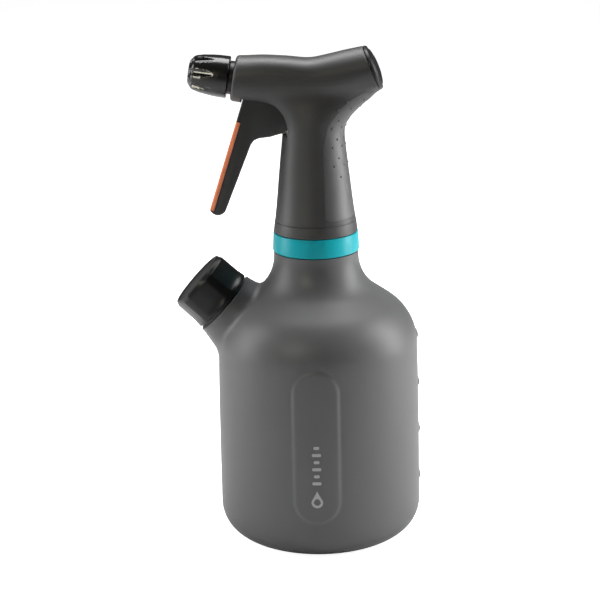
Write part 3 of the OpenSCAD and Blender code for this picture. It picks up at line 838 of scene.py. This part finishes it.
@dataclass
class FillerCap:
    """The black screw cap on the filler, with softened flats round its skirt."""

    radius: float = 18.4
    gap: float = 1.0
    height: float = 18.9
    bore: float = 16.7
    roof: float = 17.14
    flats: int = 6
    depth: float = 0.95

    def flattened(self, bm: BMesh) -> None:
        """Presses the grip flats into the skirt."""
        for v in bm.verts:
            r = math.hypot(v.co.x, v.co.y)
            if r < self.bore + 0.5:
                continue
            turn = (math.atan2(v.co.y, v.co.x) * self.flats / (2 * math.pi)) % 1.0 - 0.5
            press = self.depth * max(0.0, 1 - (turn / 0.36) ** 2) ** 0.8
            fade = min(max((v.co.z - self.gap - 1.2) / 1.6, 0.0), 1.0)
            v.co.xy *= (r - press * fade * fade * (3 - 2 * fade)) / r

    def build(self) -> None:
        """Builds the cap with its inner thread."""
        top = self.gap + self.height
        profile = rounded([
            (0, top - 0.5), (14.4, top - 0.5, 0.5), (15.2, top, 0.5), (16.5, top, 1.2),
            (self.radius - 0.5, top - 2.6, 1.4), (self.radius - 0.35, 6), (self.radius, self.gap + 2.2, 0.5),
            (self.radius, self.gap, 0.5),
            (self.bore, self.gap, 0.3), (self.bore, self.roof, 0.4), (0, self.roof)], steps=6)
        bm = lathe(divided(profile, 1.2, self.bore + 0.3), 144)
        self.flattened(bm)
        r = self.bore
        ribs = thread(r + 0.3, r - 0.95, 5.4, FILLER_RIB, THREAD_LEAD, 2.0)
        piece("filler_cap_moulding", joined(bm, ribs), SATIN_BLACK, "filler_cap", ["filler_cap"], FILLER, crease=40)


# -------------------------------------------------------------------- pump head


@dataclass
class HeadForm:
    """The pump head's outside: an upright grip that flows into a lying head."""

    grip: tuple[tuple[float, float, float, float], ...] = (
        (177.9, -21.9, 21.9, 21.7), (186, -20.9, 20.7, 20.1), (198, -19.7, 19.3, 18.2),
        (210, -18.5, 17.9, 16.7), (219, -17.5, 16.9, 15.7), (225, -16.9, 16.5, 15.1),
        (229, -16.9, 17.1, 14.8), (233.4, -18.6, 19.6, 14.4), (238.2, -22.6, 24.2, 13.7),
        (241.6, -28, 28.2, 12.9), (243.2, -36, 30.4, 12.3), (247, -37, 34.5, 11.6))
    head: tuple[tuple[float, float, float, float, float, float], ...] = (
        (-42.2, 255, -10, 12.2, 12.2, 2.0), (-36, 254.4, -7, 12.6, 12.3, 2.3),
        (-26, 254, -3, 13, 12.3, 2.6), (-13, 253.4, 0, 12.8, 12.2, 2.6),
        (-1, 252.8, 4, 12.5, 12.2, 2.4), (10, 254.5, 12, 12.7, 12.3, 2.2),
        (21, 257.2, 18.5, 12.6, 12.4, 2.0), (31, 259.2, 21.6, 12.6, 12.6, 2.0))
    points: int = 64
    cell: float = 0.85
    grid_rounds: int = 8
    blend_rounds: int = 26

    def end(self, station: int, way: int) -> tuple[Vector, Vector]:
        """A point on an open end's plane, and the way out of it: forwards is -1, back is 1."""
        x, z, lean = self.head[station][:3]
        a = math.radians(lean)
        return Vector((x, 0, z)), Vector((way * math.cos(a), 0, way * math.sin(a)))

    def _lofted(self, rings: list[list[Vector]]) -> BMesh:
        """A closed skin through rings, grown by extruding a circle's edge.

        Args:
            rings: the same number of points in each.

        Returns:
            The skin.
        """
        bm = bmesh.new()
        circle = bmesh.ops.create_circle(bm, cap_ends=True, segments=len(rings[0]), radius=1.0)["verts"]
        for v, p in zip(circle, rings[0]):
            v.co = p
        edges = list({e for v in circle for e in v.link_edges})
        front = {v: i for i, v in enumerate(circle)}
        for ring in rings[1:]:
            grown = bmesh.ops.extrude_edge_only(bm, edges=edges)
            fresh: dict[BMVert, int] = {}
            for v in verts_in(grown):
                old = next(e.other_vert(v) for e in v.link_edges if e.other_vert(v) in front)
                fresh[v] = front[old]
                v.co = ring[front[old]]
            front = fresh
            edges = [g for g in grown["geom"]
                     if isinstance(g, BMEdge) and all(v in fresh for v in g.verts)]
        bmesh.ops.contextual_create(bm, geom=edges)
        bmesh.ops.recalc_face_normals(bm, faces=bm.faces[:])
        return bm

    def rings(self, spare: float = 3.0) -> tuple[list[list[Vector]], list[list[Vector]]]:
        """Rings of the grip and of the head, each running past its open ends by spare."""
        turn = [2 * math.pi * i / self.points for i in range(self.points)]
        rows = np.array(self.grip)
        stations = [spline(rows, u) for u in np.linspace(0, len(rows) - 1, 34)]
        stations.insert(0, rows[0] - np.array([spare, 0, 0, 0]))
        grip = [[Vector(((front + back) / 2 + (back - front) / 2 * math.cos(a), side * math.sin(a), z)) for a in turn]
                for z, front, back, side in stations]

        def power(v: float, n: float) -> float:
            """Signed power that rounds a section's corners."""
            return math.copysign(abs(v) ** (2 / n), v)

        rows = np.array(self.head)
        stations = [spline(rows, u) for u in np.linspace(0, len(rows) - 1, 34)]
        for index, sign in ((0, -1), (-1, 1)):
            s = stations[index].copy()
            a = math.radians(s[2])
            s[0] += sign * spare * math.cos(a)
            s[1] += sign * spare * math.sin(a)
            stations.insert(0 if sign < 0 else len(stations), s)
        head = []
        for s in stations:
            lean = math.radians(s[2])
            ring = []
            for a in turn:
                up, side = s[3] * power(math.sin(a), s[5]), s[4] * power(math.cos(a), s[5])
                ring.append(Vector((s[0] - up * math.sin(lean), side, s[1] + up * math.cos(lean))))
            head.append(ring)
        return grip, head

    def solid(self) -> BMesh:
        """Grip and head as one closed skin with the join between them smoothed."""
        grip, head = self.rings()
        bm = remeshed(joined(self._lofted(grip), self._lofted(head)), self.cell)
        self._relaxed(bm, bm.verts[:], self.grid_rounds)
        crease = [v for v in bm.verts if 234 < v.co.z < 252 and abs(v.co.y) > 3.0 and -38 < v.co.x < 30]
        self._relaxed(bm, crease, self.blend_rounds)
        return bm

    def _relaxed(self, bm: BMesh, verts: list[BMVert], rounds: int) -> None:
        """Evens out a skin's points, in rounds."""
        for _ in range(rounds):
            bmesh.ops.smooth_vert(bm, verts=verts, factor=0.5, use_axis_x=True, use_axis_y=True, use_axis_z=True)


@dataclass
class Housing:
    """The one-piece moulded head, with its soft pad let into the back of the grip."""

    form: HeadForm
    wall: float = 1.8
    pad_t: float = 1.0
    pad_gap: float = 0.1
    slot_w: float = 17.2
    rim_r: float = 1.7
    dot_r: float = 0.66
    dot_proud: float = 0.45
    pad: tuple[tuple[float, float, float], ...] = (
        (5.5, 180.6, 3.0), (5.5, 222, 8), (8, 231, 8), (14, 239, 8), (20, 244, 6), (26, 247, 3), (42, 247, 1),
        (42, 180.6, 1))

    mouth: tuple[tuple[float, ...], ...] = (
        (-38.2, 236), (-24, 224.3), (-11, 224.3, 1.5), (-11, 243, 1.5), (-20, 248.5), (-38.2, 248.5))

    def outline(self, gap: float) -> list[Point2]:
        """The pad's side outline, drawn in by gap where it shows."""
        corners = [(x + (gap if x < 30 else 0), z + (gap if z < 200 else -gap * 0.6), r) for x, z, r in self.pad]
        return rounded(corners, closed=True)

    def core(self, solid: BMesh, depth: float) -> BMesh:
        """A copy of the closed form, drawn in by depth."""
        copy = solid.copy()
        copy.normal_update()
        for v, co in [(v, v.co - v.normal * depth) for v in copy.verts]:
            v.co = co
        return copy

    def shell(self, solid: BMesh) -> BMesh:
        """Opens the form's ends, rounds the front rim and gives it a wall."""
        form = self.form
        front, back = form.end(0, -1), form.end(-1, 1)
        for point, out in (front, back):
            near = [e for e in solid.edges
                    if -3.2 < ((e.verts[0].co + e.verts[1].co) / 2 - point).dot(out) < 1.0
                    and (e.verts[0].co - point).length < 16]
            bmesh.ops.subdivide_edges(solid, edges=near, cuts=1, use_grid_fill=True)
        for (point, out), radius in ((front, self.rim_r), (back, 0.5)):
            opened(solid, point, out, 22.0)
            for v in solid.verts:
                depth = -(v.co - point).dot(out)
                if depth < radius and (v.co - point).length < 18:
                    inset = radius - math.sqrt(max(radius ** 2 - (radius - max(depth, 0.0)) ** 2, 0.0))
                    radial = v.co - point + out * depth
                    v.co -= radial.normalized() * min(inset, radius * 0.9)
        foot = Vector((0, 0, form.grip[0][0]))
        opened(solid, foot, Vector((0, 0, -1)), 30.0)
        return thickened(solid, self.wall)

    def dots(self, solid: BMesh) -> BMesh:
        """The small staggered nubs that stand out of the pad."""
        tree = BVHTree.FromBMesh(solid)
        bm = bmesh.new()
        for column in range(-4, 5):
            for row in range(5 if column % 2 else 4):
                z = 203.1 + 10.0 * row + (0.0 if column % 2 else 6.0)
                a = math.radians(13.2 * column)
                start = Vector((1.1 + max(0.0, z - 232) * 0.5, 0, z))
                hit = tree.ray_cast(start, Vector((math.cos(a), math.sin(a), 0)))
                if hit[0] is None or hit[0].x < 9.5:
                    continue
                centre = hit[0] - hit[1] * (self.dot_r - self.dot_proud)
                bmesh.ops.create_icosphere(bm, subdivisions=2, radius=self.dot_r, matrix=Matrix.Translation(centre))
        bmesh.ops.recalc_face_normals(bm, faces=bm.faces[:])
        return bm

    def build(self) -> None:
        """Builds the housing and the pad."""
        solid = self.form.solid()
        inner = self.core(solid, self.pad_t)
        pad = combined(slab(self.outline(self.pad_gap), 60), solid.copy(), Cut.KEEP_COMMON)
        pad = combined(pad, inner.copy(), Cut.REMOVE)
        pad = joined(pad, self.dots(solid))
        recess = combined(slab(self.outline(0.0), 60), inner, Cut.REMOVE)
        shell = self.shell(solid)
        shell = combined(shell, recess, Cut.REMOVE)
        shell = combined(shell, slab(rounded(self.mouth, closed=True), self.slot_w), Cut.REMOVE)
        piece("housing_moulding", shell, BODY_GREY, "head", ["housing"], crease=38)
        piece("grip_pad_moulding", pad, SOFT_GREY, "head", ["grip_pad"], crease=38)


@dataclass
class HeadTrim:
    """The turned pieces round the head: collar rings, rear cap, nozzle mount."""

    ring_z: float = 161.4
    ring_h: float = 10.2
    ring_low: float = 23.5
    ring_high: float = 22.9
    adapter_z: float = 171.7
    adapter_h: float = 6.1
    inner: float = 21.0

    def build(self) -> None:
        """Builds each ring and cap."""
        z, top = self.ring_z, self.ring_z + self.ring_h
        ring = rounded([(self.inner, z), (self.ring_low - 0.3, z, 0.2), (self.ring_low, z + 0.5, 0.5),
                        (self.ring_high, top - 0.1, 0.5), (self.inner, top - 0.1)], closed=True)
        piece("collar_ring_moulding", lathe(ring, 128, closed=True), TURQUOISE, "head", ["collar_ring"])
        z, top = self.adapter_z, self.adapter_z + self.adapter_h
        ring = rounded([(self.inner, z), (22.35, z, 0.1), (22.7, z + 0.35, 0.3), (21.95, top, 0.15),
                        (self.inner, top)], closed=True)
        piece("adapter_ring_moulding", lathe(ring, 128, closed=True), BODY_GREY, "head", ["adapter_ring"])
        cap = rounded([(0, 4.05), (4.5, 3.85, 6.0), (9.0, 3.0, 6.0), (10.6, 2.05, 0.3), (10.9, 1.75, 0.1),
                       (11.15, 2.0, 0.15), (11.7, 1.9, 0.3), (12.4, 0.8, 0.5), (12.35, 0.18, 0.15), (10, 0.15),
                       (10, -2.5, 0.2), (8.6, -2.5, 0.2), (8.6, -0.6), (0, -0.6)])
        piece("rear_cap_moulding", lathe(cap, 96), SATIN_BLACK, "head", ["rear_cap"], REAR)
        bezel = rounded([(4.3, -3.2), (10.3, -3.2, 0.2), (10.3, -0.8, 0.7), (8.9, -0.8), (8.9, 2.3, 0.4),
                         (6.5, 2.3, 0.2), (6.5, 1.0), (4.3, 1.0)], closed=True)
        piece("nozzle_bezel_moulding", lathe(bezel, 96, closed=True), SATIN_BLACK, "head", ["nozzle_bezel"], NOZZLE)
        spigot = rounded([(1.75, -11), (3, -11, 0.2), (3, -4), (4.2, -4), (4.2, 1.2), (6, 1.2), (6, 12, 0.5),
                          (5.2, 12), (5.2, 13.6, 0.1), (3.9, 13.6), (3.9, 15.6), (5.2, 15.6, 0.1), (5.2, 17.6, 0.4),
                          (2.4, 17.6), (2.4, 8), (1.75, 8)], closed=True, steps=3)
        ribs = thread(5.8, 6.55, 4.0, (0.25, 0.6, 0.9), 2.4, 2.6, 40)
        piece("nozzle_spigot_moulding", joined(lathe(spigot, 72, closed=True), ribs), SATIN_BLACK, "head",
              ["nozzle_spigot"], NOZZLE)
        piece("collar_thread", thread(20.2, 18.95, 165.2, NECK_RIB, THREAD_LEAD, 1.7), SATIN_BLACK, "head")


@dataclass
class Nozzle:
    """The adjusting knob, a rounded black cone with finger flutes."""

    base: float = 2.6
    flutes: int = 8
    turn: float = 11.0
    depth: float = 1.25
    curve: float = 1.7
    start: float = 7.4

    def fluted(self, bm: BMesh) -> None:
        """Presses the flutes into the knob's outside, deepest at the tip."""
        for v in bm.verts:
            r = math.hypot(v.co.x, v.co.y)
            along = v.co.z - self.base
            if r < 5.0 or along < self.start - 1:
                continue
            ramp = min(max((along - self.start) / 9.0, 0.0), 1.0)
            depth = self.depth * math.sin(ramp * math.pi / 2) * min(1.0, max(0.0, (r - 4.8) / 2.6))
            angle = math.atan2(v.co.y, v.co.x) - math.radians(self.turn)
            pitch = 2 * math.pi / self.flutes
            across = ((angle / pitch + 0.5) % 1.0 - 0.5) * pitch * r
            press = max(0.0, depth - across * across / (2 * self.curve))
            v.co.xy *= (r - press) / r

    def build(self) -> None:
        """Builds the knob with its bore and the orifice's cup."""
        b = self.base
        outer = rounded([(7, b, 0.3), (11.0, b, 0.3), (11.2, b + 0.4, 0.3), (11.1, b + 5, 4), (10.8, b + 9.5, 6),
                         (10.3, b + 14.2, 6), (9.2, b + 18.7, 3.4), (6.2, b + 21.0, 2.4), (4.6, b + 21.25, 0.4),
                         (3.3, b + 20.2, 0.2)], steps=7)
        bore = [(3.25, b + 19.8), (3.25, b + 17.85), (4.45, b + 17.85), (4.45, b + 16.2), (5.6, b + 16.2),
                (5.6, b + 9.9), (7, b + 9.9)]
        bm = lathe(divided(outer, 0.45) + bore, 208, closed=True)
        self.fluted(bm)
        piece("nozzle_knob_moulding", bm, GLOSS_BLACK, "nozzle_knob", ["nozzle_knob"], NOZZLE, crease=28)


@dataclass
class Trigger:
    """The pull trigger: a channel-backed blade with a coloured strip down its front."""

    pivot: Point2 = (-31.0, 246.0)
    arm: float = 18.0
    lean: float = -10.0
    width: float = 16.0
    cheek: float = 1.8
    lobe_r: float = 25.0
    tip: Point2 = (-52.0, 186.7)
    tip_r: float = 4.7
    top: Point2 = (-37.5, 243.0)
    strip_stop: float = 10.5
    strip_deep: float = 2.4
    strip_gap: float = 0.12

    def outline(self) -> list[Point2]:
        """Side outline of the blade and its lobe."""
        x, z = self.pivot
        under = [(-16, 226), (-23, 224.4, 6), (-29, 223.7, 4), (-31.6, 222.6, 2), (-33.4, 220.2, 4), (-36, 213)]
        return [*rounded([self.top, (-36.2, 247.5, 1.2), (-33.5, 250, 1.0), (-29, 250)]),
                *arc(x, z, self.lobe_r, -18, -50.8, 14), *rounded(under)[1:-1],
                *arc(*self.tip, self.tip_r, -20, -160, 16)]

    def front_line(self) -> tuple[Vector, Vector]:
        """The low end of the blade's front, and the way up along it."""
        low = Vector(arc(*self.tip, self.tip_r, -160, -160, 1)[0])
        return low, Vector(self.top) - low

    def strip(self, inset: float) -> list[Point2]:
        """Outline of the strip of the blade's front that the inlay fills."""
        low, rise = self.front_line()
        up, back = rise.normalized(), Vector((rise.y, -rise.x)).normalized()
        long, deep = rise.length - self.strip_stop, self.strip_deep - inset
        corners = [low - back + up * inset, low - back + up * (long - inset),
                   low + back * deep + up * (long - inset), low + back * deep + up * inset]
        return [(c.x, c.y) for c in corners]

    def build(self) -> None:
        """Builds the trigger moulding and its inlay."""
        plate = softened(slab(self.outline(), self.width), 1.5, 50, 4)
        blade = plate.copy()
        body = combined(plate, slab(self.strip(0.0), self.width + 4), Cut.REMOVE)
        hollow = self.width - 2 * self.cheek
        channel = slab([(-49.4, 186.5), (-34.9, 243), (-34.9, 252), (0, 252), (0, 218), (-30, 218), (-44, 186.5)],
                       hollow)
        body = combined(body, channel, Cut.REMOVE)
        hole = rods(1.56, self.width + 4, *self.pivot)
        body = combined(body, hole, Cut.REMOVE)
        a = math.radians(self.lean)
        nose = (self.pivot[0] + self.arm * math.sin(a), self.pivot[1] - self.arm * math.cos(a))
        low, high, front = nose[1] - 1.2, nose[1] + 1.2, nose[0] - 4.5
        web = slab([(front, low), (nose[0], low), (nose[0], high), (front, high)], hollow + 0.6)
        body = joined(body, rods(2.5, hollow + 0.6, *nose), web)
        piece("trigger_moulding", body, TRIGGER_BLACK, "trigger", ["trigger"], crease=34)
        inlay = combined(blade, slab(self.strip(self.strip_gap), self.width + 4), Cut.KEEP_COMMON)
        piece("trigger_inlay_moulding", inlay, ORANGE, "trigger", ["trigger_inlay"], crease=34)


@dataclass
class Springs:
    """The two coil springs."""

    pump_z: float = 228.0
    front: float = -13.45
    end: float = 8.45
    valve_x: float = 4.5
    valve_low: float = 240.83
    valve_top: float = 250.5
    pump_stroke: float = 6.283
    valve_stroke: float = 1.0

    def coil(self, radius: float, wire: float, length: float, turns: float) -> BMesh:
        """A round-wire coil up +Z from 0."""
        section = [(radius + wire * math.cos(a), wire + wire * math.sin(a))
                   for a in (2 * math.pi * i / 10 for i in range(10))]
        return helix(section, (length - 2 * wire) / turns, turns, 32)

    def build(self) -> None:
        """Builds both springs, each with a mesh of its own."""
        long = self.end - self.front
        spring = piece("return_spring_coil", self.coil(3.4, 0.5, long, 7), STEEL, "head", ["return_spring"],
                       Axis(self.front, self.pump_z, 180.0))
        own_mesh(spring)
        high = self.valve_top - self.valve_low
        spring = piece("outlet_spring_coil", self.coil(1.7, 0.22, high, 5), STEEL, "head", ["outlet_spring"],
                       Axis(self.valve_x, self.valve_low, 90.0))
        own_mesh(spring)


# ------------------------------------------------------------------------ stage


@dataclass
class Stage:
    """Pale floor, soft lights and the camera."""

    eye: Point3 = (0.03365, -0.9835, 0.4215)
    look: Point3 = (-0.0419, 0.9585, -0.2820)
    roll: float = -0.0218
    lens: float = 112.56
    floor_glow: float = 0.93
    middle: Point3 = (0.0, 0.0, 0.14)

    def camera(self) -> None:
        """Makes the camera and sets it as the scene's."""
        data = bpy.data.cameras.new("camera")
        data.lens, data.sensor_width = self.lens, 36.0
        data.clip_start, data.clip_end = 0.01, 50.0
        obj = bpy.data.objects.new("camera", data)
        bpy.context.scene.collection.objects.link(obj)
        aim = Vector(self.look).to_track_quat("-Z", "Y") @ Quaternion((0, 0, 1), self.roll)
        obj.matrix_world = Matrix.Translation(self.eye) @ aim.to_matrix().to_4x4()
        bpy.context.scene.camera = obj
        bpy.context.scene.view_settings.view_transform = "Standard"

    def floor(self) -> None:
        """Lays the pale floor."""
        bm = bmesh.new()
        bmesh.ops.create_grid(bm, x_segments=2, y_segments=2, size=6.0)
        mesh = bpy.data.meshes.new("floor")
        bm.to_mesh(mesh)
        bm.free()
        material = bpy.data.materials.new("floor_white")
        material.use_nodes = True
        tree = material.node_tree
        shader = tree.nodes["Principled BSDF"]
        for label, value in (("Base Color", (0.86, 0.86, 0.86, 1)), ("Roughness", 0.9), ("Specular IOR Level", 0.1),
                             ("Emission Color", (1, 1, 1, 1))):
            shader.inputs[label].default_value = value
        seen = tree.nodes.new("ShaderNodeLightPath").outputs["Is Camera Ray"]
        glow = NodeGroups.arithmetic(tree, "MULTIPLY", seen, self.floor_glow)
        tree.links.new(glow, shader.inputs["Emission Strength"])
        mesh.materials.append(material)
        obj = bpy.data.objects.new("floor", mesh)
        obj.location.z = -0.0002
        bpy.context.scene.collection.objects.link(obj)

    def softbox(self, name: str, place: Point3, aim: Point3, size: Point2, power: float,
                tint: Colour = (1.0, 1.0, 1.0), gloss_only: bool = False) -> bpy.types.Object:
        """Hangs one rectangular light.

        Args:
            name: the light's name.
            place: where it hangs, in metres.
            aim: the point that it faces.
            size: its width and height in metres.
            power: watts.
            tint: its colour.
            gloss_only: whether it shows in reflections alone.

        Returns:
            The light's object.
        """
        data = bpy.data.lights.new(name, "AREA")
        data.shape, data.size, data.size_y, data.energy = "RECTANGLE", size[0], size[1], power
        data.color = tint
        obj = bpy.data.objects.new(name, data)
        bpy.context.scene.collection.objects.link(obj)
        obj.visible_diffuse = not gloss_only
        obj.location = place
        obj.rotation_euler = (Vector(aim) - Vector(place)).to_track_quat("-Z", "Y").to_euler()
        return obj

    def glint(self) -> None:
        """Hangs the warm light that shows in the nozzle knob's flutes alone."""
        obj = self.softbox("knob_glint", (-0.54, -0.63, 0.30), (-0.05, 0.0, 0.26), (0.34, 0.50), 10.0,
                           (1.0, 0.96, 0.78), gloss_only=True)
        lit = bpy.data.collections.new("knob_glint_receivers")
        lit.objects.link(bpy.data.objects["nozzle_knob_moulding"])
        obj.light_linking.receiver_collection = lit

    def surroundings(self) -> None:
        """A white room that is seen as white, and lights less from the front."""
        world = bpy.data.worlds.new("room")
        bpy.context.scene.world = world
        world.use_nodes = True
        nodes, link = world.node_tree.nodes, world.node_tree.links.new
        lit, seen = nodes["Background"], nodes.new("ShaderNodeBackground")
        seen.inputs["Color"].default_value = (1, 1, 1, 1)
        place, split = nodes.new("ShaderNodeTexCoord"), nodes.new("ShaderNodeSeparateXYZ")
        ramp = nodes.new("ShaderNodeMapRange")
        for label, value in (("From Min", -0.35), ("From Max", 0.85), ("To Min", 0.07), ("To Max", 1.25)):
            ramp.inputs[label].default_value = value
        choose, path = nodes.new("ShaderNodeMixShader"), nodes.new("ShaderNodeLightPath")
        link(place.outputs["Generated"], split.inputs[0])
        link(split.outputs["Y"], ramp.inputs["Value"])
        link(ramp.outputs["Result"], lit.inputs["Strength"])
        link(path.outputs["Is Camera Ray"], choose.inputs[0])
        link(lit.outputs[0], choose.inputs[1])
        link(seen.outputs[0], choose.inputs[2])
        link(choose.outputs[0], nodes["World Output"].inputs["Surface"])

    def build(self) -> None:
        """Sets the stage."""
        self.camera()
        self.floor()
        self.surroundings()
        self.softbox("left_box", (-0.95, -0.02, 0.42), self.middle, (0.4, 1.0), 8.2)
        self.softbox("right_box", (0.95, 0.1, 0.42), self.middle, (0.45, 1.0), 14.5)
        self.softbox("top_box", (0.0, 0.25, 1.1), self.middle, (0.9, 0.5), 15.0)
        self.softbox("kicker", (-0.42, -0.9, 0.62), (-0.05, 0.0, 0.25), (0.12, 0.07), 2.2, (1.0, 0.95, 0.8),
                     gloss_only=True)


def dress_cad(frame: dict) -> None:
    """Gives the CAD nodes that stay in sight their finishes."""
    for node, finish in CAD_FINISHES.items():
        obj = frame["nodes"][node]
        for spot in obj.material_slots:
            spot.material = finish.material()
        if not obj.material_slots:
            obj.data.materials.append(finish.material())


def main() -> None:
    """Builds the sprayer's looks and its stage."""
    logging.basicConfig(level=logging.INFO, format="%(name)s: %(message)s")
    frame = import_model()
    stage = Stage()
    stage.build()
    dress_cad(frame)
    Bottle().build()
    FillerCap().build()
    Housing(HeadForm()).build()
    HeadTrim().build()
    Nozzle().build()
    Trigger().build()
    Springs().build()
    stage.glint()


if __name__ == "__main__":
    main()
